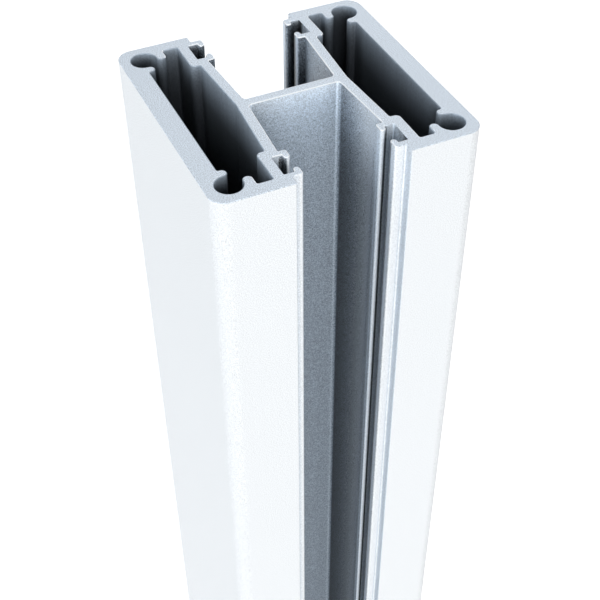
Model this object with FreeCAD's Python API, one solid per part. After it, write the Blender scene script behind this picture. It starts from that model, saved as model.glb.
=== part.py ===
import FreeCAD, Part
import math
import os

# Fence post: one extruded aluminium section, cut square at both ends.
# Two hollow flanges stand left and right of a web, so the plan reads as an H.
# A board slides down the slot on either side of the web, between the flanges.
# Millimetres. Origin at the middle of the foot, +Z up the post.
# X runs along the web from flange to flange, Y along the depth of the slots.

# Overall
POST_LENGTH = 1900.0
POST_WIDTH = 70.0
POST_DEPTH = 70.0
CORNER_RADIUS = 4.2
EDGE_RADIUS = 0.4

# Walls of a flange
OUTER_WALL = 5.55
END_WALL = 3.75
INNER_WALL = 2.85
CHAMBER_RADIUS = 0.5

# Web between the flanges
WEB_THICKNESS = 2.8
WEB_FILLET = 1.1

# Board slot: it widens a little from the web to the hooks, and the hooks narrow its mouth
SLOT_WIDTH_AT_WEB = 24.9
SLOT_WIDTH_AT_HOOKS = 27.6
SLOT_MOUTH = 23.6

# Gasket groove at each side of a slot's mouth, held between two hooks
GROOVE_WIDTH = 7.15
GROOVE_DEPTH = 4.3
GROOVE_MOUTH = 4.1
GROOVE_RADIUS = 0.3
HOOK_WALL = 1.6
HOOK_RADIUS = 0.65

# The end face stops short of the slot, and the outer hook stands back from it
END_FACE_SETBACK = 2.9
HOOK_RECESS = 2.7

# Shoulder where the inner wall jogs into the chamber to make room for the groove
SHOULDER_WALL = 3.0
SHOULDER_RADIUS = 1.4

# Screw port in each corner of the post: a bore left open towards its chamber,
# between two lips with fully rounded tips
PORT_DIAMETER = 6.8
PORT_INSET = 6.1
PORT_MOUTH_ANGLE = 88.0
PORT_LIP = 2.5

# Places worked out from the sizes, all in the quarter with positive X and Y
half_width = POST_WIDTH / 2
half_depth = POST_DEPTH / 2
web_face = WEB_THICKNESS / 2
nose_x = SLOT_MOUTH / 2
lip_x = nose_x + HOOK_WALL
end_face_x = nose_x + END_FACE_SETBACK
groove_x = nose_x + GROOVE_DEPTH
outer_hook_y = half_depth - HOOK_RECESS
groove_far_y = outer_hook_y - HOOK_WALL
groove_near_y = groove_far_y - GROOVE_WIDTH
inner_hook_y = groove_near_y - HOOK_WALL
mouth_far_y = groove_far_y - (GROOVE_WIDTH - GROOVE_MOUTH) / 2
mouth_near_y = groove_near_y + (GROOVE_WIDTH - GROOVE_MOUTH) / 2
shoulder_y = groove_near_y - SHOULDER_WALL
chamber_outer_x = half_width - OUTER_WALL
chamber_end_y = half_depth - END_WALL
chamber_groove_x = groove_x + INNER_WALL
port_x = half_width - PORT_INSET
port_y = half_depth - PORT_INSET
port_radius = PORT_DIAMETER / 2
lip_radius = PORT_LIP / 2

SMALLEST_RUN = 1e-6


def point(x, y):
    return FreeCAD.Vector(x, y, 0)


def slot_face_x(y):
    """X of the slot's leaning side face at depth y."""
    rise = (SLOT_WIDTH_AT_HOOKS - SLOT_WIDTH_AT_WEB) / 2 / (inner_hook_y - web_face)
    return SLOT_WIDTH_AT_WEB / 2 + rise * (y - web_face)


def chamber_face_x(y):
    """X of the chamber side of the same wall, which is INNER_WALL thick square to its face."""
    lean = math.atan2(slot_face_x(1) - slot_face_x(0), 1)
    return slot_face_x(y) + INNER_WALL / math.cos(lean)


def arc(centre, radius, start_angle, turn):
    """Arc about a centre, from an angle through a signed turn, both in degrees."""
    ends = [point(centre.x + radius * math.cos(a), centre.y + radius * math.sin(a))
            for a in (math.radians(start_angle + turn * part) for part in (0, 0.5, 1))]
    return Part.Arc(*ends).toShape()


def turned_corner(before, corner, after, radius):
    """Start, middle and end of the arc that rounds a corner and touches both of its runs."""
    into = (before - corner).normalize()
    out = (after - corner).normalize()
    half_angle = into.getAngle(out) / 2
    reach = radius / math.tan(half_angle)
    inward = (into + out).normalize()
    middle = corner + inward * (radius / math.sin(half_angle) - radius)
    return corner + into * reach, middle, corner + out * reach


def rounded_run(corners):
    """Edges of an open run through corners (x, y, radius); its two ends have no radius."""
    places = [point(x, y) for x, y, radius in corners]
    edges = []
    here = places[0]
    for k in range(1, len(corners) - 1):
        start, middle, end = turned_corner(places[k - 1], places[k], places[k + 1], corners[k][2])
        if here.distanceToPoint(start) > SMALLEST_RUN:
            edges.append(Part.LineSegment(here, start).toShape())
        edges.append(Part.Arc(start, middle, end).toShape())
        here = end
    edges.append(Part.LineSegment(here, places[-1]).toShape())
    return edges


def outer_quarter():
    """Outline from the middle of the web, round the hooks and the end face, to the outer wall."""
    hook_tip = HOOK_WALL / 2
    return rounded_run([
        (0, web_face, 0),
        (slot_face_x(web_face), web_face, WEB_FILLET),
        (slot_face_x(inner_hook_y), inner_hook_y, GROOVE_RADIUS),
        (nose_x, inner_hook_y, HOOK_RADIUS),
        (nose_x, mouth_near_y, hook_tip),
        (lip_x, mouth_near_y, hook_tip),
        (lip_x, groove_near_y, GROOVE_RADIUS),
        (groove_x, groove_near_y, GROOVE_RADIUS),
        (groove_x, groove_far_y, GROOVE_RADIUS),
        (lip_x, groove_far_y, GROOVE_RADIUS),
        (lip_x, mouth_far_y, hook_tip),
        (nose_x, mouth_far_y, hook_tip),
        (nose_x, outer_hook_y, HOOK_RADIUS),
        (end_face_x, outer_hook_y, EDGE_RADIUS),
        (end_face_x, half_depth, EDGE_RADIUS),
        (half_width, half_depth, CORNER_RADIUS),
        (half_width, 0, 0),
    ])


def chamber_quarter():
    """Outline of the chamber from its outer wall, round the screw port, to its inner wall."""
    port = point(port_x, port_y)
    swing = (90 - PORT_MOUTH_ANGLE) / 2
    centre_gap = port_radius + lip_radius
    side_lip_angle = 270 - swing
    end_lip_angle = 180 + swing
    side_lip = port + point(math.cos(math.radians(side_lip_angle)),
                            math.sin(math.radians(side_lip_angle))) * centre_gap
    end_lip = port + point(math.cos(math.radians(end_lip_angle)),
                           math.sin(math.radians(end_lip_angle))) * centre_gap
    lip_turn = 180 + swing

    to_port = rounded_run([
        (chamber_outer_x, 0, 0),
        (chamber_outer_x, side_lip.y - lip_radius, CHAMBER_RADIUS),
        (side_lip.x, side_lip.y - lip_radius, 0),
    ])
    round_port = [
        arc(side_lip, lip_radius, 270, -lip_turn),
        arc(port, port_radius, side_lip_angle, 360 - PORT_MOUTH_ANGLE),
        arc(end_lip, lip_radius, swing, -lip_turn),
    ]
    from_port = rounded_run([
        (end_lip.x - lip_radius, end_lip.y, 0),
        (end_lip.x - lip_radius, chamber_end_y, CHAMBER_RADIUS),
        (chamber_groove_x, chamber_end_y, CHAMBER_RADIUS),
        (chamber_groove_x, shoulder_y, SHOULDER_RADIUS),
        (chamber_face_x(shoulder_y), shoulder_y, CHAMBER_RADIUS),
        (chamber_face_x(0), 0, 0),
    ])
    return to_port + round_port + from_port


def mirrored(edges, direction):
    """The edges with their copies on the other side of the plane through the axis."""
    return edges + [edge.mirror(point(0, 0), direction) for edge in edges]


def closed_wire(edges):
    return Part.Wire(Part.__sortEdges__(edges))


def section_face():
    """The section in plan: the outer outline less the chamber of each flange."""
    across_depth = point(0, 1)
    across_width = point(1, 0)
    outline = closed_wire(mirrored(mirrored(outer_quarter(), across_depth), across_width))
    right_chamber = closed_wire(mirrored(chamber_quarter(), across_depth))
    left_chamber = right_chamber.mirror(point(0, 0), across_width)
    section = Part.Face(outline)
    for chamber in (right_chamber, left_chamber):
        section = section.cut(Part.Face(chamber))
    return section.Faces[0]


def post_profile():
    """The section pushed out over the whole length."""
    return section_face().extrude(FreeCAD.Vector(0, 0, POST_LENGTH)).removeSplitter()


os.makedirs("parts", exist_ok=True)
post_profile().exportStep("parts/post_profile.step")
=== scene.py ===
import math

import bpy
import numpy as np
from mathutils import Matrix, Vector
from mathutils.geometry import tessellate_polygon


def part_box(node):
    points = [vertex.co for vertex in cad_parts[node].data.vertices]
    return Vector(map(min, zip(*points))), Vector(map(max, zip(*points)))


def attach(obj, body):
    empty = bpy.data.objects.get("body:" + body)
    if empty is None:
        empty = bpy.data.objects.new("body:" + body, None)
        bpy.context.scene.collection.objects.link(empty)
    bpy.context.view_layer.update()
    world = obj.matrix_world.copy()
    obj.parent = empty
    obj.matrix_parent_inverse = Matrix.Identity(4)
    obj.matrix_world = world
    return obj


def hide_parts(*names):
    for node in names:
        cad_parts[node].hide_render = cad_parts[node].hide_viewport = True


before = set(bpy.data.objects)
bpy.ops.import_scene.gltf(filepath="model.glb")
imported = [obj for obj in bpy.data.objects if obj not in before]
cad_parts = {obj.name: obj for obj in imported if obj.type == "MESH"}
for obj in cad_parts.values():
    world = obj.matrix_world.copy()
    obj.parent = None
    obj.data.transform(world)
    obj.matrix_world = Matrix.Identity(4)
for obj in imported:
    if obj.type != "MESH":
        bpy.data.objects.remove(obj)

bl_info = {
    "name": "Slotted fence post",
    "version": (1, 0, 0),
    "blender": (4, 5, 0),
    "location": "3D View > Sidebar > Fence post",
    "description": "An extruded aluminium fence post with two board slots, on a plain stage",
    "category": "Object",
}

NODE = "post_profile"
FOOT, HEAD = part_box(NODE)
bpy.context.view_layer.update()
MM = 0.001


# Sizes and colours that a user would change

def length(name, default, description):
    """A length in metres."""
    return bpy.props.FloatProperty(name=name, description=description, default=default,
                                   min=0.0, precision=5, unit="LENGTH", subtype="DISTANCE")


def colour(name, default, description):
    """A colour as the shader takes it, in linear light."""
    return bpy.props.FloatVectorProperty(name=name, description=description, default=default,
                                         min=0.0, max=1.0, size=3, subtype="COLOR")


def share(name, default, description):
    """A number from 0 to 1."""
    return bpy.props.FloatProperty(name=name, description=description, default=default,
                                   min=0.0, max=1.0, subtype="FACTOR")


class SectionSizes(bpy.types.PropertyGroup):
    """Sizes of the extruded section and of its cut ends."""
    post_length: length("Post length", HEAD.z - FOOT.z, "From the foot to the top cut")
    post_width: length("Post width", HEAD.x - FOOT.x, "Across both flanges")
    post_depth: length("Post depth", HEAD.y - FOOT.y, "Through both board slots")
    corner_radius: length("Corner radius", 0.0042, "Rounding of the four outer corners")
    edge_radius: length("Edge radius", 0.0004, "Rounding of the end faces' inner edges")
    outer_wall: length("Outer wall", 0.00555, "Thickness of a flange's outer wall")
    end_wall: length("End wall", 0.00375, "Thickness of a flange's front and back walls")
    inner_wall: length("Inner wall", 0.00285, "Thickness of a flange's wall beside the slot")
    chamber_radius: length("Chamber radius", 0.0005, "Rounding of a chamber's inside corners")
    web_thickness: length("Web thickness", 0.0028, "Thickness of the web between the flanges")
    web_fillet: length("Web fillet", 0.0011, "Rounding between the web and the flanges")
    slot_at_web: length("Slot width at web", 0.0249, "Width of a board slot beside the web")
    slot_at_hooks: length("Slot width at hooks", 0.0276, "Width of a board slot just inside its hooks")
    slot_mouth: length("Slot mouth", 0.0236, "Clear width between the noses of the hooks")
    groove_width: length("Groove width", 0.00715, "Width of a gasket groove inside")
    groove_depth: length("Groove depth", 0.0043, "Depth of a gasket groove from the hooks' noses")
    groove_mouth: length("Groove mouth", 0.0041, "Gap between the lips of a pair of hooks")
    groove_radius: length("Groove radius", 0.0003, "Rounding of a gasket groove's inside corners")
    hook_wall: length("Hook wall", 0.0016, "Thickness of a hook's arm and of its lip")
    hook_radius: length("Hook radius", 0.00065, "Rounding of a hook's outer corner")
    end_face_setback: length("End face setback", 0.0029, "How far an end face stops short of the noses")
    hook_recess: length("Hook recess", 0.0027, "How far an outer hook stands back from the end face")
    shoulder_wall: length("Shoulder wall", 0.003, "Thickness of the shoulder behind a groove")
    shoulder_radius: length("Shoulder radius", 0.0014, "Rounding of the shoulder in a chamber")
    port_diameter: length("Port diameter", 0.0068, "Bore of a screw port")
    port_inset: length("Port inset", 0.0061, "From a screw port's centre to the two outer faces")
    port_lip: length("Port lip", 0.0025, "Thickness of the two lips beside a port's mouth")
    ridge_radius: length("Ridge radius", 0.003, "Rounding of a chamber's ridge behind the web")
    port_mouth: bpy.props.FloatProperty(
        name="Port mouth", description="Share of the bore that opens into the chamber, as an angle",
        default=math.radians(88), subtype="ANGLE", unit="ROTATION")
    cut_arris: length("Cut arris", 0.00022, "Rounding of the edges at the sawn ends")
    # Painted light: how far in from the ends light falling over the cut lifts a slot's painted shade
    top_light_reach: length("Spray reach", 0.012, "How far in the spray thickens a slot's coat at the ends")
    # Painted light: how far in from the ends the chambers are painted lighter
    end_light_reach: length("Brush reach", 0.0105, "How far in the chambers are brushed bright at the ends")
    arc_flatness: length("Arc flatness", 0.000003, "Furthest that an arc's chords leave the arc")
    level_height: length("Level height", 0.08, "Height of one ring of faces along the post")


class FinishLooks(bpy.types.PropertyGroup):
    """Colours of the coat and of the cuts, and of the painted shade, light and highlights on them."""
    coat: colour("Coat", (0.815, 0.85, 0.88), "Satin coat on the faces outside")
    # Painted shade: the bluer tint that the shaded parts of the coat take
    shade_tint: colour("Thin coat", (0.61, 0.735, 0.88), "Tint of the coat where little of it lands")
    # Painted shade: how dark the deepest painted shade makes the coat
    deepest_shade: share("Bare share", 0.025, "Brightness where no coat lands, beside the full coat's")
    # Painted shade: near-black colour of the chambers' depths
    chamber_shade: colour("Drawn metal", (0.024, 0.029, 0.036), "Bare metal deep in the chambers")
    # Painted light: colour of the chambers near the cut ends
    chamber_end_light: colour("Brushed metal", (0.40, 0.48, 0.57), "Chamber metal brushed at the cut ends")
    sawn_metal: colour("Sawn metal", (0.63, 0.705, 0.79), "Bare metal of the cut ends")
    # Painted highlight: colour of the highlighted edges
    edge_highlight: colour("Burnished edge", (0.75, 0.785, 0.82), "Edge left bright by the saw")
    coat_roughness: share("Coat roughness", 0.42, "Dullness of the coat")
    sawn_roughness: share("Sawn roughness", 0.55, "Dullness of the cut ends")


class StageSettings(bpy.types.PropertyGroup):
    """Camera, floor and light."""
    camera_place: bpy.props.FloatVectorProperty(
        name="Camera place", description="Where the camera stands, from the middle of the post's top",
        default=(-0.099926, -0.221716, 0.157841),
        size=3, precision=5, unit="LENGTH", subtype="TRANSLATION")
    camera_turn: bpy.props.FloatVectorProperty(
        name="Camera turn", description="Turn of the camera about X, Y and Z",
        default=(math.radians(46.599), math.radians(0.275), math.radians(-24.902)),
        size=3, unit="ROTATION", subtype="EULER")
    view_angle: bpy.props.FloatProperty(
        name="View angle", description="Angle across the square picture",
        default=math.radians(29.408), subtype="ANGLE", unit="ROTATION")
    floor_radius: length("Floor radius", 14.0, "Radius of the round floor")
    floor_colour: colour("Floor colour", (0.80, 0.80, 0.80), "Pale paper floor")
    floor_fill: share("Floor fill", 0.75, "How far the floor is topped up to white where it is seen")
    foot_fill: share("Foot fill", 0.22, "The same beside the foot, where the shadow lies")
    sky_strength: share("Sky strength", 0.24, "Level of the even light from all round")
    lamp_power: bpy.props.FloatProperty(
        name="Lamp power", description="Power that each lamp takes its share of",
        default=110.0, min=0.0, unit="POWER")


# Outline of the section
# An outline is a run of arcs, each (centre x, centre y, radius, start angle, turn). A straight run
# joins one arc's end to the next arc's start, and the metal lies on the right of the run.

WIDEST_STEP = math.radians(12)      # between neighbouring points on an arc
SAME_PLACE = 1e-7                   # points closer than this are one


def corner_arcs(corners):
    """Arcs that round the inner corners of an open run of corners (x, y, radius).

    The arc's centre lies on the corner's bisector at radius / cos(turn / 2), its first spoke stands
    square to the run that comes in, and it turns by as much as the run does.
    """
    run = np.array(corners, float)
    corner, radius = run[1:-1, :2], run[1:-1, 2]
    steps = np.diff(run[:, :2], axis=0)
    steps /= np.linalg.norm(steps, axis=1)[:, None]
    come, leave = steps[:-1], steps[1:]
    turn = np.arctan2(come[:, 0] * leave[:, 1] - come[:, 1] * leave[:, 0], (come * leave).sum(1))
    inward = (leave - come) / np.linalg.norm(leave - come, axis=1)[:, None]
    centre = corner + inward * (radius / np.cos(turn / 2))[:, None]
    side = np.sign(turn)
    start = np.arctan2(-come[:, 0] * side, come[:, 1] * side)
    return np.column_stack([centre, radius, start, turn])


def mirrored(arcs, axis):
    """The arcs' mirror image across x = 0 (axis 0) or y = 0 (axis 1), run backwards.

    An angle a becomes pi - a across x = 0 and -a across y = 0. The image starts where the arc
    ended, and it keeps its turn, because the mirror and the new direction both flip it.
    """
    image = arcs[::-1].copy()
    ended = image[:, 3] + image[:, 4]
    image[:, axis] *= -1
    image[:, 3] = math.pi - ended if axis == 0 else -ended
    return image


def traced(arcs, flatness):
    """Points along an outline, and at each the direction that faces out of the metal.

    A point is centre + radius (cos a, sin a), with a going evenly from start to start + turn in
    steps no wider than 2 acos(1 - flatness / radius). Out of the metal is left of the run, which
    is towards the centre of an arc that turns left.
    """
    step = np.minimum(2 * np.arccos(1 - flatness / arcs[:, 2]), WIDEST_STEP)
    count = np.ceil(np.abs(arcs[:, 4]) / step).astype(int) + 1
    arc = np.repeat(np.arange(len(arcs)), count)
    place = np.arange(count.sum()) - np.repeat(np.cumsum(count) - count, count)
    angle = arcs[arc, 3] + arcs[arc, 4] * place / (count[arc] - 1)
    spoke = np.column_stack([np.cos(angle), np.sin(angle)])
    points = arcs[arc, :2] + arcs[arc, 2:3] * spoke
    outward = -spoke * np.sign(arcs[arc, 4])[:, None]
    apart = np.linalg.norm(points - np.roll(points, 1, axis=0), axis=1) > SAME_PLACE
    return points[apart], outward[apart]


def hook_faces(s):
    """|y| of the near hook's two faces and of the far hook's two faces, from the web outwards."""
    hook_far = s.post_depth / 2 - s.hook_recess
    groove_far = hook_far - s.hook_wall
    groove_near = groove_far - s.groove_width
    return groove_near - s.hook_wall, groove_near, groove_far, hook_far


def section_outlines(s):
    """The outer outline and the two chambers' outlines, as closed runs of arcs.

    One quarter of the outer outline runs from the web to the outer face, and its mirror images
    close it. A chamber runs from the outer face round the port, down the inner wall and back.
    """
    half_width, half_depth = s.post_width / 2, s.post_depth / 2
    web = s.web_thickness / 2
    nose = s.slot_mouth / 2
    lip = nose + s.hook_wall
    groove = nose + s.groove_depth
    end_face = nose + s.end_face_setback
    hook_near, groove_near, groove_far, hook_far = hook_faces(s)
    lip_length = (s.groove_width - s.groove_mouth) / 2
    shoulder = groove_near - s.shoulder_wall
    lean = (s.slot_at_hooks - s.slot_at_web) / 2 / (hook_near - web)
    slot_side = s.slot_at_web / 2 - lean * web
    chamber_side = slot_side + s.inner_wall * math.hypot(1, lean)
    quarter = corner_arcs([
        (0, web, 0),
        (slot_side + lean * web, web, s.web_fillet),
        (slot_side + lean * hook_near, hook_near, s.groove_radius),
        (nose, hook_near, s.hook_radius),
        (nose, groove_near + lip_length, s.hook_wall / 2),
        (lip, groove_near + lip_length, s.hook_wall / 2),
        (lip, groove_near, s.groove_radius),
        (groove, groove_near, s.groove_radius),
        (groove, groove_far, s.groove_radius),
        (lip, groove_far, s.groove_radius),
        (lip, groove_far - lip_length, s.hook_wall / 2),
        (nose, groove_far - lip_length, s.hook_wall / 2),
        (nose, hook_far, s.hook_radius),
        (end_face, hook_far, s.edge_radius),
        (end_face, half_depth, s.edge_radius),
        (half_width, half_depth, s.corner_radius),
        (half_width, 0, 0),
    ])
    side = np.vstack([quarter, mirrored(quarter, 1)])
    chamber_x, chamber_y = half_width - s.outer_wall, half_depth - s.end_wall
    groove_back = groove + s.inner_wall
    port = np.array([half_width - s.port_inset, half_depth - s.port_inset])
    bore, lip_radius = s.port_diameter / 2, s.port_lip / 2
    swing = math.pi / 4 - s.port_mouth / 2
    side_lip = port - (bore + lip_radius) * np.array([math.sin(swing), math.cos(swing)])
    end_lip = port - (bore + lip_radius) * np.array([math.cos(swing), math.sin(swing)])
    to_port = corner_arcs([
        (chamber_x, 0, 0),
        (chamber_x, side_lip[1] - lip_radius, s.chamber_radius),
        (side_lip[0], side_lip[1] - lip_radius, 0),
    ])
    round_port = np.array([
        (*side_lip, lip_radius, 1.5 * math.pi, -math.pi - swing),
        (*port, bore, 1.5 * math.pi - swing, 2 * math.pi - s.port_mouth),
        (*end_lip, lip_radius, swing, -math.pi - swing),
    ])
    from_port = corner_arcs([
        (end_lip[0] - lip_radius, end_lip[1], 0),
        (end_lip[0] - lip_radius, chamber_y, s.chamber_radius),
        (groove_back, chamber_y, s.chamber_radius),
        (groove_back, shoulder, s.shoulder_radius),
        (chamber_side + lean * shoulder, shoulder, s.chamber_radius),
        (chamber_side, 0, s.ridge_radius),
        (chamber_side + lean * shoulder, -shoulder, 0),
    ])
    half_chamber = np.vstack([to_port, round_port, from_port[:-1]])
    chamber = np.vstack([half_chamber, from_port[-1:], mirrored(half_chamber, 1)])
    return np.vstack([side, mirrored(side, 0)]), chamber, mirrored(chamber, 0)


# Mesh of the post

# The coat and the lining carry painted shade and light; the highlighted arris, a painted highlight
COAT, LINING, CUT, HIGHLIGHT_ARRIS = range(4)
ARRIS_STEPS = 4                     # facets in the quarter circle of an arris
FACES_RIGHT = 0.3                   # least x of an outward direction that counts as facing +X


def carried_wall(points, outward, s):
    """The wall that an outline makes when it is carried up the post, as a grid.

    Vertex (level, point) is the outline's point moved into the metal by the level's inset. The
    inset is 0 up the middle. At either end the edge is a quarter circle of the arris's radius: at
    angle t the inset is arris (1 - cos t), and the height stops short of the end by
    arris (1 - sin t). The normal is the outline's outward direction leaned by t towards the end.
    Returns the vertices, normals and quads, each quad's point on the outline where it is on an
    arris (-1 elsewhere), and the lower and the upper rim.
    """
    arris = s.cut_arris
    swing = np.linspace(0, math.pi / 2, ARRIS_STEPS + 1)
    levels = round(s.post_length / s.level_height) + 1
    middle = np.linspace(arris, s.post_length - arris, levels)
    height = np.concatenate([arris * (1 - np.sin(swing[:0:-1])), middle,
                             s.post_length - arris * (1 - np.sin(swing[1:]))])
    t = np.concatenate([-swing[:0:-1], np.zeros(levels), swing[1:]])
    flat = points - (arris * (1 - np.cos(t)))[:, None, None] * outward
    up = np.ones(flat.shape[:2] + (1,))
    vertices = np.dstack([flat, up * height[:, None, None] + FOOT.z])
    normals = np.dstack([np.cos(t)[:, None, None] * outward, up * np.sin(t)[:, None, None]])
    grid = np.arange(up.size).reshape(flat.shape[:2])
    beside = np.roll(grid, -1, axis=1)
    quads = np.stack([grid[:-1], grid[1:], beside[1:], beside[:-1]], axis=-1).reshape(-1, 4)
    on_arris = (np.abs(t[:-1] + t[1:]) > 0)[:, None]
    around = np.where(on_arris, np.arange(len(points)), -1).ravel()
    return vertices.reshape(-1, 3), normals.reshape(-1, 3), quads, around, grid[0], grid[-1]


def cut_face(vertices, rims, facing):
    """Triangles between the outer rim and the chambers' rims, all facing up (1) or down (-1)."""
    rim = np.concatenate(rims)
    flat = [[Vector(vertices[v]) for v in loop] for loop in rims]
    triangles = rim[np.array(tessellate_polygon(flat))]
    a, b, c = vertices[triangles[:, 0]], vertices[triangles[:, 1]], vertices[triangles[:, 2]]
    turned = np.cross(b - a, c - a)[:, 2] * facing < 0
    triangles[turned] = triangles[turned][:, ::-1]
    return triangles


def build_profile(s):
    """The profile as one closed mesh: three carried walls and the two cut faces that join them.

    A painted highlight goes on the outer wall's edge where |x| is within the slot, and on a chamber's
    where its inner wall, which is less than a third of the width from the middle, faces +X. The other
    edges take the finish of the cut on the outer wall and of the lining in a chamber.
    """
    walls, base = [], 0
    for finish, plain, arcs in zip((COAT, LINING, LINING), (CUT, LINING, LINING), section_outlines(s)):
        points, outward = traced(arcs, s.arc_flatness)
        vertices, normals, quads, around, low, high = carried_wall(points, outward, s)
        across = np.abs(points[:, 0])
        in_slot = (across < s.slot_at_hooks / 2) & (finish == COAT)
        beside_slot = (across < s.post_width / 3) & (outward[:, 0] > FACES_RIGHT) & (finish == LINING)
        # Edges in the slot, and chamber edges beside it that face +X, get the painted highlight
        edge = np.where(in_slot | beside_slot, HIGHLIGHT_ARRIS, plain)
        walls.append((vertices, normals, quads + base, np.where(around < 0, finish, edge[around]),
                      low + base, high + base))
        base += len(vertices)
    vertices, normals, quads, finishes, lows, highs = zip(*walls)
    vertices, normals = np.vstack(vertices), np.vstack(normals)
    ends = np.vstack([cut_face(vertices, lows, -1), cut_face(vertices, highs, 1)])
    mesh = bpy.data.meshes.new("post_profile_finished")
    mesh.from_pydata(vertices.tolist(), [], np.vstack(quads).tolist() + ends.tolist())
    finish = np.concatenate(finishes + (np.full(len(ends), CUT),)).astype(np.int32)
    mesh.polygons.foreach_set("material_index", finish)
    mesh.polygons.foreach_set("use_smooth", np.ones(len(finish), bool))
    mesh.normals_split_custom_set_from_vertices(normals.tolist())
    mesh.update()
    piece = bpy.data.objects.new(mesh.name, mesh)
    bpy.context.scene.collection.objects.link(piece)
    return piece


# Shader maths

class Level:
    """A number that varies over a surface. Python's operators on it add Math nodes."""

    def __init__(self, finish, socket):
        self.finish, self.socket = finish, socket

    def math(self, operation, *values, clamp=False):
        """What a Math node makes of the values."""
        settings = {"operation": operation, "use_clamp": clamp}
        return self.finish.add("ShaderNodeMath", settings, dict(enumerate(values)))

    def __add__(self, other):
        return self.math("ADD", self, other)

    def __radd__(self, other):
        return self.math("ADD", other, self)

    def __sub__(self, other):
        return self.math("SUBTRACT", self, other)

    def __rsub__(self, other):
        return self.math("SUBTRACT", other, self)

    def __mul__(self, other):
        return self.math("MULTIPLY", self, other)

    def __rmul__(self, other):
        return self.math("MULTIPLY", other, self)

    def __truediv__(self, other):
        return self.math("DIVIDE", self, other)

    def __rpow__(self, other):
        return self.math("POWER", other, self)

    def __neg__(self):
        return self.math("MULTIPLY", self, -1)

    def __abs__(self):
        return self.math("ABSOLUTE", self)

    def clamped(self):
        """The number kept between 0 and 1."""
        return self.math("ADD", self, 0.0, clamp=True)

    def larger(self, other):
        """The larger of the two numbers."""
        return self.math("MAXIMUM", self, other)

    def faded(self, reach):
        """1 at 0, falling away as e to the power -value / reach."""
        power = -self / reach
        return power.math("EXPONENT", power)

    def step(self, low, high):
        """0 below low, 1 above high, and smooth between."""
        return self.finish.add("ShaderNodeMapRange", {"interpolation_type": "SMOOTHSTEP"},
                               {"Value": self, "From Min": low, "From Max": high})

    def past(self, face, low, high):
        """0 until low millimetres past the face, 1 from high millimetres on, and smooth between."""
        return self.step(face + low * MM, face + high * MM)

    def upto(self, face, low, high):
        """1 until low millimetres past the face, 0 from high millimetres on, and smooth between."""
        return 1 - self.past(face, low, high)


class Finish:
    """The nodes of a material or of the world, under way."""

    def __init__(self, name, kind="materials"):
        self.owner = getattr(bpy.data, kind).new(name)
        self.owner.use_nodes = True
        self.tree = self.owner.node_tree
        self.tree.nodes.clear()

    def add(self, kind, settings=None, sockets=None, out=0):
        """Adds a node: its settings first, then values or links for its sockets. Returns an output."""
        node = self.tree.nodes.new(kind)
        for setting, value in (settings or {}).items():
            setattr(node, setting, value)
        for socket, value in (sockets or {}).items():
            if isinstance(value, Level):
                self.tree.links.new(value.socket, node.inputs[socket])
            else:
                node.inputs[socket].default_value = value
        return Level(self, node.outputs[out]) if node.outputs else node

    def place(self):
        """Where a point lies, in the object's own coordinates."""
        return self.add("ShaderNodeTexCoord", out="Object")

    def axis(self, place, name):
        """The place's X, Y or Z."""
        return self.add("ShaderNodeSeparateXYZ", None, {0: place}, out=name)

    def stretched(self, place, factors):
        """The place with each coordinate multiplied by its factor."""
        return self.add("ShaderNodeVectorMath", {"operation": "MULTIPLY"}, {0: place, 1: factors})

    def ramp(self, value, reach, stops):
        """A number that goes through the stops as the value goes from 0 to reach.

        Each group of stops is a face followed by (millimetres past the face, level) pairs. A
        ramp's own levels can't go below 0, so they are raised by the lowest one and lowered after.
        """
        marks = [(face + past * MM, level) for face, *pairs in stops for past, level in pairs]
        lowest = min(level for _, level in marks)
        ramp = self.add("ShaderNodeValToRGB", None, {"Fac": value / reach})
        elements = ramp.socket.node.color_ramp.elements
        while len(elements) < len(marks):
            elements.new(1.0)
        for element, (position, level) in zip(elements, marks):
            raised = level - lowest
            element.position, element.color = position / reach, (raised, raised, raised, 1.0)
        return ramp + lowest

    def noise(self, place, scale, detail=2.0, roughness=0.5):
        """Noise with about scale bumps a metre, from -0.5 to 0.5."""
        settings = {"Vector": place, "Scale": scale, "Detail": detail, "Roughness": roughness}
        return self.add("ShaderNodeTexNoise", None, settings) - 0.5

    def mixed(self, factor, first, second, blend="MIX"):
        """A colour that goes from the first to the second as the factor goes from 0 to 1."""
        colours = {6: first if isinstance(first, Level) else (*first, 1.0),
                   7: second if isinstance(second, Level) else (*second, 1.0)}
        return self.add("ShaderNodeMix", {"data_type": "RGBA", "blend_type": blend},
                        {0: factor, **colours}, out=2)

    def shaded(self, colour, shade):
        """The colour multiplied by a number."""
        grey = self.add("ShaderNodeCombineColor", None, {0: shade, 1: shade, 2: shade})
        return self.mixed(1.0, colour, grey, "MULTIPLY")

    def bump(self, height, distance):
        """A normal that leans as if the surface rose by distance where height is 1."""
        return self.add("ShaderNodeBump", None, {"Height": height, "Distance": distance})

    def finished(self, **sockets):
        """Sends a Principled shader to the output, with _ for a space in its socket names."""
        sockets = {name.replace("_", " "): value for name, value in sockets.items()}
        shader = self.add("ShaderNodeBsdfPrincipled", None, sockets)
        self.add("ShaderNodeOutputMaterial", None, {"Surface": shader})
        return self.owner

    def looked_at(self):
        """1 where the camera, a reflection or a view through something meets it, else 0."""
        rays = [self.add("ShaderNodeLightPath", out=f"Is {ray} Ray")
                for ray in ("Camera", "Glossy", "Transmission")]
        return (rays[0] + rays[1] + rays[2]).clamped()


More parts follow.
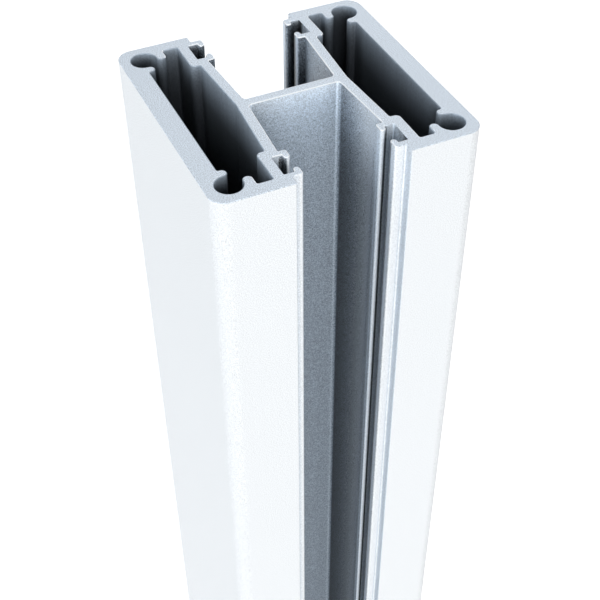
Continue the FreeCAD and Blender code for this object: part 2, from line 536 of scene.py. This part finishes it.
class Spot:
    """Where a point lies on the post, in the numbers that the finishes use.

    x and y run from the post's middle, across and along are |x| and |y|, and inward is the
    distance from the nearer of the two sawn ends.
    """

    def __init__(self, finish, s):
        self.place = finish.place()
        self.x, self.y, height = (finish.axis(self.place, name) for name in "XYZ")
        self.across, self.along = abs(self.x), abs(self.y)
        self.inward = s.post_length / 2 - abs(height - (FOOT.z + HEAD.z) / 2)


# The coat, with painted shade
# Its painted shade goes from 0, the coat's own colour, to 1, near black. The distances in past,
# upto and a ramp's stops are in millimetres past a face of the section.

# Painted shade on the web, far from the cuts
WEB_SHADE = 0.204


def slot_shade(finish, at, s):
    """A slot's mask, its sides' mask, and the painted shade on its coat far from the cuts.

    The web has one even level. A side starts at about that level, is darkest just past the fillet
    and grows lighter towards the hooks. The corner behind the hooks is dark again, the hooks' noses
    are nearly unshaded, and the far hook's lip is shaded at its tip.
    """
    web, side_near = s.web_thickness / 2, s.slot_at_web / 2
    hook_near, _, groove_far, hook_far = hook_faces(s)
    side = finish.ramp(at.along, s.post_depth / 2, [
        (web, (0.3, 0.20), (0.55, 0.245), (0.8, 0.30), (1.05, 0.446), (1.35, 0.656), (1.65, 0.714),
         (2.6, 0.665), (4.1, 0.604), (6.1, 0.518), (8.1, 0.430), (10.1, 0.347), (12.1, 0.277),
         (13.6, 0.215), (16.1, 0.132)),
        (hook_near, (-3.4, 0.085), (-1.6, 0.20), (-0.2, 0.85), (0.2, 0.40), (0.6, 0.16),
         (1.0, 0.215), (1.6, 0.075), (2.0, 0.03), (2.5, 0.15), (2.8, 0.0)),
        (groove_far, (-1.8, 0.08), (-1.3, 0.38), (-0.6, 0.40), (-0.1, 0.04)),
        (hook_far, (-0.9, 0.0), (-0.4, 0.12), (-0.1, 0.0))])
    on_side = at.across.past(side_near, -0.4, 0.1).larger(at.along.past(web, 3, 6))
    in_slot = at.across.upto(s.slot_at_hooks / 2, 0, 0.2)
    return in_slot, on_side, in_slot * (WEB_SHADE + on_side * (side - WEB_SHADE))


def light_at_cuts(at, s, on_side):
    """The share of a slot's painted shade that painted light, falling in over the cut ends, lifts.

    On the web it fades inwards by the light's reach, is half as strong towards the sides, and stays
    stronger in the fillets. On a side it reaches further, is stronger away from the web and ends
    at three reaches. The tips of the far hooks' lips get none.
    """
    side_near, groove_far = s.slot_at_web / 2, hook_faces(s)[2]
    on_web = at.inward.faded(s.top_light_reach) * (1 - at.across.step(5.5 * MM, side_near - 0.5 * MM) * 0.5)
    fillet = at.across.past(side_near, -1.1, -0.7) * at.across.upto(side_near, -0.5, -0.2)
    on_web = on_web + fillet * (at.inward.faded(s.top_light_reach * 2) * 0.65 + 0.02)
    beside = (at.inward.faded(s.top_light_reach * 1.67) * (0.61 + at.along.past(0, 1, 14) * 0.22)
              * (1 - at.inward.step(s.top_light_reach * 1.5, s.top_light_reach * 3)))
    lip_tip = at.along.past(groove_far, -1.6, -1.4) * at.along.upto(groove_far, -0.5, -0.1)
    return (on_web + on_side * (beside - on_web)) * (1 - lip_tip)


def web_side_shade(at):
    """Painted shade on the web near the cuts: darker on its left, as the left wall shades it, lighter on
    its right.
    """
    left = (-at.x).past(0, 1, 8) * at.inward.upto(0, 6, 20) * (1 - at.inward.faded(MM) * 0.6)
    right = at.x.past(0, 2, 9) * at.inward.faded(6 * MM)
    return (left * 0.053 - right * 0.065) * at.across.upto(0, 11.2, 11.7) * at.along.upto(0, 2, 3)


def back_slot_shade(finish, at, s):
    """What the back slot's sides and hooks add to the painted shade.

    It grows along the side to the corner behind the hooks, is small on the near hook's nose and
    most along its lip, and goes a little below 0, as painted light, on the far hook's lip.
    """
    hook_near, groove_near, groove_far, hook_far = hook_faces(s)
    return finish.ramp(at.y, s.post_depth / 2, [
        (0, (1, 0.0), (4, 0.07)),
        (hook_near, (-1.45, 0.217), (-0.45, 0.19), (-0.15, 0.30), (0, 0.36), (0.15, 0.20), (0.45, 0.10)),
        (groove_near, (-0.5, 0.06), (0, 0.15), (0.2, 0.50), (0.4, 0.75)),
        (groove_far, (-1.7, 0.75), (-1.5, 0.47), (-1.4, 0.20), (-1.3, -0.09), (-1.0, -0.15),
         (-0.6, -0.05), (-0.2, 0.02)),
        (hook_far, (0, 0.0))])


def groove_shade(at, s):
    """A gasket groove's mask, and its painted shade in place of the slot's.

    It is dark with painted shade but for the strip that light reaches through its mouth, and is
    lighter just below a cut. Its back is darker towards the far corner and less dark in the near one.
    """
    nose, back = s.slot_mouth / 2, s.slot_mouth / 2 + s.groove_depth
    _, groove_near, groove_far, _ = hook_faces(s)
    in_groove = (at.across.step(nose + s.hook_wall * 0.55, nose + s.hook_wall * 0.85)
                 * at.across.upto(back, 0, 0.2)
                 * at.along.past(groove_near, -0.2, 0.1) * at.along.upto(groove_far, 0, 0.2))
    lit_by_mouth = at.across.past(nose, 2.3, 2.6) * at.along.upto(groove_far, -1.7, -1.0)
    inside = ((0.94 - lit_by_mouth * 0.84) * (1 - at.inward.faded(1.7 * MM))
              + lit_by_mouth * at.inward.faded(3 * MM) * 0.12)
    corners = (at.along.past(groove_near, 1.5, 3.5) * 0.11 + at.along.past(groove_far, -2.7, -1.5) * 0.22
               - at.along.upto(groove_near, 0.2, 0.5) * 0.14)
    return in_groove, inside + at.across.past(back, -0.3, -0.1) * corners


def hook_front_shade(at, s):
    """Painted shade on the outer hooks' fronts: some towards the recess, and some on the left hook's
    nose.
    """
    left = (-at.x).past(0, 12.4, 13.5) * 0.036 + (-at.x).upto(0, 11.7, 12.4) * 0.09
    right = at.x.past(0, 13.8, 14.3) * 0.045 - 0.007
    front = left + at.x.past(0, -1, 1) * (right - left)
    return front * (-at.y).past(hook_faces(s)[3], -0.3, -0.1) * at.across.upto(0, 14.3, 14.6)


def coat_and_shade_finish(s, looks):
    """Satin coat: fine grain over faint drawing lines, and painted shade, darker and bluer, in the
    slots.

    The coat is darkened by the deepest shade's share to the power of its painted shade. That shade is
    the slot's, less what painted light near the cuts lifts, and a little more far from the cuts. The
    back slot, the grooves, the recess, the hooks' fronts and the web's sides then change it. The grain
    grows with the painted shade, and the post's outer corners are a little darker.
    """
    finish = Finish("satin_coat_and_shade")
    at = Spot(finish, s)
    lines = finish.noise(finish.stretched(at.place, (1, 1, 0.006)), 1400, detail=3)
    grain = finish.noise(at.place, 4000, detail=1)
    blotch = finish.noise(at.place, 1500, detail=2)
    cloud = finish.noise(at.place, 14, detail=3)
    hook_near, _, groove_far, hook_far = hook_faces(s)

    # Painted shade in the slots: lifted by painted light near the cuts, deeper far from them
    in_slot, on_side, slot = slot_shade(finish, at, s)
    far = 1 - at.inward.faded(180 * MM)
    painted_shade = slot * (1 - light_at_cuts(at, s, on_side)) * (1 + far * (on_side * 0.08 + 0.18))
    back = back_slot_shade(finish, at, s) * in_slot * on_side
    painted_shade = painted_shade + back * (1 - at.inward.faded(2 * MM) * 0.25)
    in_groove, groove = groove_shade(at, s)
    painted_shade = painted_shade + in_groove * (groove - painted_shade)
    end_face = s.slot_mouth / 2 + s.end_face_setback
    # Painted shade in the recess beside the outer hooks
    recess = (at.across.past(end_face, -0.4, -0.1) * at.across.upto(end_face, 0.1, 0.3)
              * at.along.past(hook_far, 0.2, 0.6))
    front = hook_front_shade(at, s)
    painted_shade = painted_shade + recess * 0.05 + front + web_side_shade(at)

    # How far the painted shade turns the coat towards the bluer shade tint
    shade_hue = finish.ramp(at.along, s.post_depth / 2, [
        (0, (6, 1.0), (15, 0.6)),
        (hook_near, (-0.5, 0.6), (1.2, 0.85), (2.7, 0.85), (3.0, 0.45)),
        (groove_far, (-2.0, 0.45), (-1.4, 0.85), (0, 0.7), (0.4, 0.55)),
        (hook_far, (-0.5, 0.65), (-0.1, 0.0))])
    tint = (in_slot * shade_hue + in_groove + recess * 0.6).clamped() * (1 - at.inward.faded(3 * MM) * 0.4)
    tint = (tint + abs(back) * 4 + front * 8).clamped()
    rounding = (s.post_width + s.post_depth) / 2 - s.corner_radius
    corner = (at.across + at.along).step(rounding, rounding + s.corner_radius * 0.4)
    shade = (lines * 0.03 + grain * (slot * 2 + painted_shade * (on_side * 5 + 4.5) + 0.9)
             + blotch * on_side * painted_shade * 2 + cloud * 0.03 + 0.985 - corner * 0.05)
    colour = finish.mixed(tint, looks.coat, looks.shade_tint)
    return finish.finished(Base_Color=finish.shaded(colour, shade * looks.deepest_shade ** painted_shade),
                           Roughness=looks.coat_roughness + grain * 0.12 + lines * 0.08, Metallic=0.15,
                           Normal=finish.bump(grain * 0.6 + lines * 0.4, 0.08 * MM))


# The bare metal, with painted shade and light in the chambers and a painted highlight on edges

def lining_and_shade_finish(s, looks):
    """Bare drawn metal: long die lines up the post, painted dark inside as shade, lighter at the ends.

    The painted light fades inwards by its reach. It is less on the outer wall, less and shorter near
    the front and back walls, and least in the ports. A narrow rim at the cut is painted brighter, and
    brightest in the ports.
    """
    finish = Finish("drawn_lining_and_shade")
    at = Spot(finish, s)
    lines = finish.noise(finish.stretched(at.place, (1, 1, 0.004)), 1100, detail=4, roughness=0.6)
    grain = finish.noise(at.place, 2200, detail=2)
    by_end_wall = at.along.past(0, 17, 21)
    outer = at.across.past(0, 20, 28)
    port = at.across.past(0, 25.5, 26.5) * at.along.past(0, 25.5, 26.5)
    # Painted light near the ends, where light falls into the chambers
    lightened = (at.inward.faded(s.end_light_reach * (1 - by_end_wall * 0.65))
               * (0.55 - outer * 0.285) * (1 - by_end_wall * 0.20) * (1 - port * 0.75))
    rim = at.inward.faded(1.3 * MM) * (0.40 + port * 0.42)
    colour = finish.mixed((lightened + rim).clamped(), looks.chamber_shade, looks.chamber_end_light)
    return finish.finished(Base_Color=finish.shaded(colour, lines * 0.35 + grain * 0.9 + 1.0),
                           Roughness=0.5 + grain * 0.2, Metallic=0.2,
                           Normal=finish.bump(lines * 0.7 + grain * 0.3, 0.04 * MM))


def cut_finish(looks):
    """Sawn metal: fine straight tooth marks and a speckle of torn grains."""
    finish = Finish("sawn_cut")
    place = finish.place()
    marks = finish.noise(finish.stretched(place, (0.05, 1, 1)), 2200, detail=2)
    speckle = finish.noise(place, 4000, detail=1, roughness=0.6)
    shade = marks * 0.06 + speckle * 2.0 + 0.905
    return finish.finished(Base_Color=finish.shaded(looks.sawn_metal, shade), Metallic=0.15,
                           Roughness=looks.sawn_roughness + speckle * 0.2,
                           Normal=finish.bump(marks * 0.4 + speckle * 0.6, 0.03 * MM))


def arris_highlight_finish(looks):
    """Edges of the cut with a painted highlight, and nicks that show the sawn metal's colour."""
    finish = Finish("painted_arris_highlight")
    nicks = finish.noise(finish.place(), 1500, detail=3)
    colour = finish.mixed(nicks.step(0.05, 0.35), looks.edge_highlight, looks.sawn_metal)
    return finish.finished(Base_Color=colour, Roughness=0.35 + nicks * 0.2, Metallic=0.4,
                           Normal=finish.bump(nicks, 0.03 * MM))


class POST_OT_profile(bpy.types.Operator):
    """Build the post profile with its finishes, in place of the construction solid"""
    bl_idname = "fence_post.profile"
    bl_label = "Post profile"

    def execute(self, context):
        sizes, looks = context.scene.fence_post_section, context.scene.fence_post_looks
        piece = build_profile(sizes)
        for material in (coat_and_shade_finish(sizes, looks), lining_and_shade_finish(sizes, looks), cut_finish(looks),
                         arris_highlight_finish(looks)):
            piece.data.materials.append(material)
        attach(piece, "root")
        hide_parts(NODE)
        return {"FINISHED"}


# Stage

FLOOR_GAP = 0.2 * MM                # between the foot and the floor
FLOOR_SIDES = 96
LAMP_DISTANCE, LAMP_SIZE = 3.2, 1.6
LAMP_AIM = Vector((0, 0, 1.5))
# A lamp's name, degrees round from the front, height, share of the lamp power, and colour
LAMPS = (
    ("lamp_left", -87, 3.5, 0.585, (0.93, 0.965, 1.0)),
    ("lamp_front", -14, 3.1, 0.77, (1.0, 0.985, 0.97)),
    ("lamp_right", 50, 3.6, 0.16, (1, 1, 1)),
    ("lamp_back", 150, 4.6, 0.28, (1, 1, 1)),
)


def paper_finish(stage):
    """White paper: lit as paper, and topped up to white where it is looked at.

    The top-up rises from foot_fill beside the post to floor_fill at 1 m, and to full at 6 m.
    """
    finish = Finish("white_paper")
    place = finish.place()
    fibre = finish.noise(place, 60, detail=4)
    away = finish.add("ShaderNodeVectorMath", {"operation": "LENGTH"}, {0: place}, out="Value")
    topped = (stage.foot_fill + away.step(0.1, 1.0) * (stage.floor_fill - stage.foot_fill)
              + away.step(2.0, 6.0) * (1 - stage.floor_fill))
    colour = finish.shaded(stage.floor_colour, fibre * 0.02 + 1.0)
    paper = finish.add("ShaderNodeBsdfDiffuse", None, {"Color": colour})
    fill = finish.add("ShaderNodeEmission", None, {"Strength": finish.looked_at() * topped})
    both = finish.add("ShaderNodeAddShader", None, {0: paper, 1: fill})
    finish.add("ShaderNodeOutputMaterial", None, {"Surface": both})
    return finish.owner


def add_floor(stage):
    """A round floor just under the foot, with its rim at radius (cos a, sin a) about the post."""
    around = np.linspace(0, 2 * math.pi, FLOOR_SIDES, endpoint=False)
    rim = stage.floor_radius * np.column_stack([np.cos(around), np.sin(around)])
    vertices = np.column_stack([rim, np.full(len(rim), FOOT.z - FLOOR_GAP)])
    mesh = bpy.data.meshes.new("floor")
    mesh.from_pydata(vertices.tolist(), [], [list(range(len(rim)))])
    mesh.materials.append(paper_finish(stage))
    floor = bpy.data.objects.new("floor", mesh)
    bpy.context.scene.collection.objects.link(floor)


def add_lamp(name, turn, height, power, tint):
    """A square soft lamp, at turn degrees round from the front and turned to face LAMP_AIM."""
    around = math.radians(turn)
    place = Vector((LAMP_DISTANCE * math.sin(around), -LAMP_DISTANCE * math.cos(around), height))
    lamp = bpy.data.lights.new(name, "AREA")
    lamp.shape, lamp.size, lamp.energy, lamp.color = "SQUARE", LAMP_SIZE, power, tint
    holder = bpy.data.objects.new(name, lamp)
    holder.location = place
    holder.rotation_euler = (LAMP_AIM - place).to_track_quat("-Z", "Y").to_euler()
    bpy.context.scene.collection.objects.link(holder)


def light_sky(stage):
    """Even light from all round, and white where it is looked at."""
    finish = Finish("studio", "worlds")
    strength = stage.sky_strength + finish.looked_at() * (1 - stage.sky_strength)
    sky = finish.add("ShaderNodeBackground", None, {"Color": (1, 1, 1, 1), "Strength": strength})
    finish.add("ShaderNodeOutputWorld", None, {"Surface": sky})
    bpy.context.scene.world = finish.owner


def add_camera(stage):
    """The photograph's view, from near the top of the post."""
    camera = bpy.data.cameras.new("camera")
    camera.angle = stage.view_angle
    camera.clip_start, camera.clip_end = 0.01, 60
    holder = bpy.data.objects.new("camera", camera)
    middle = Vector(((FOOT.x + HEAD.x) / 2, (FOOT.y + HEAD.y) / 2, HEAD.z))
    holder.location = middle + Vector(stage.camera_place)
    holder.rotation_euler = stage.camera_turn
    bpy.context.scene.collection.objects.link(holder)
    bpy.context.scene.camera = holder


class POST_OT_stage(bpy.types.Operator):
    """Set up the pale floor, the soft lamps and the camera"""
    bl_idname = "fence_post.stage"
    bl_label = "Stage"

    def execute(self, context):
        stage = context.scene.fence_post_stage
        add_floor(stage)
        for name, turn, height, power_share, tint in LAMPS:
            add_lamp(name, turn, height, power_share * stage.lamp_power, tint)
        light_sky(stage)
        add_camera(stage)
        context.scene.view_settings.view_transform = "Standard"
        return {"FINISHED"}


class POST_PT_sidebar(bpy.types.Panel):
    """Builds the fence post and its stage"""
    bl_idname = "POST_PT_sidebar"
    bl_label = "Fence post"
    bl_space_type = "VIEW_3D"
    bl_region_type = "UI"
    bl_category = "Fence post"

    def draw(self, context):
        for settings in (context.scene.fence_post_section, context.scene.fence_post_looks,
                         context.scene.fence_post_stage):
            box = self.layout.box()
            for name in settings.bl_rna.properties.keys():
                if name not in ("rna_type", "name"):
                    box.prop(settings, name)
        self.layout.operator(POST_OT_profile.bl_idname)
        self.layout.operator(POST_OT_stage.bl_idname)


CLASSES = (SectionSizes, FinishLooks, StageSettings, POST_OT_profile, POST_OT_stage, POST_PT_sidebar)


def register():
    for cls in CLASSES:
        bpy.utils.register_class(cls)
    bpy.types.Scene.fence_post_section = bpy.props.PointerProperty(type=SectionSizes)
    bpy.types.Scene.fence_post_looks = bpy.props.PointerProperty(type=FinishLooks)
    bpy.types.Scene.fence_post_stage = bpy.props.PointerProperty(type=StageSettings)


def unregister():
    del bpy.types.Scene.fence_post_stage
    del bpy.types.Scene.fence_post_looks
    del bpy.types.Scene.fence_post_section
    for cls in reversed(CLASSES):
        bpy.utils.unregister_class(cls)


def main():
    register()
    bpy.ops.fence_post.profile()
    bpy.ops.fence_post.stage()


if __name__ == "__main__":
    main()
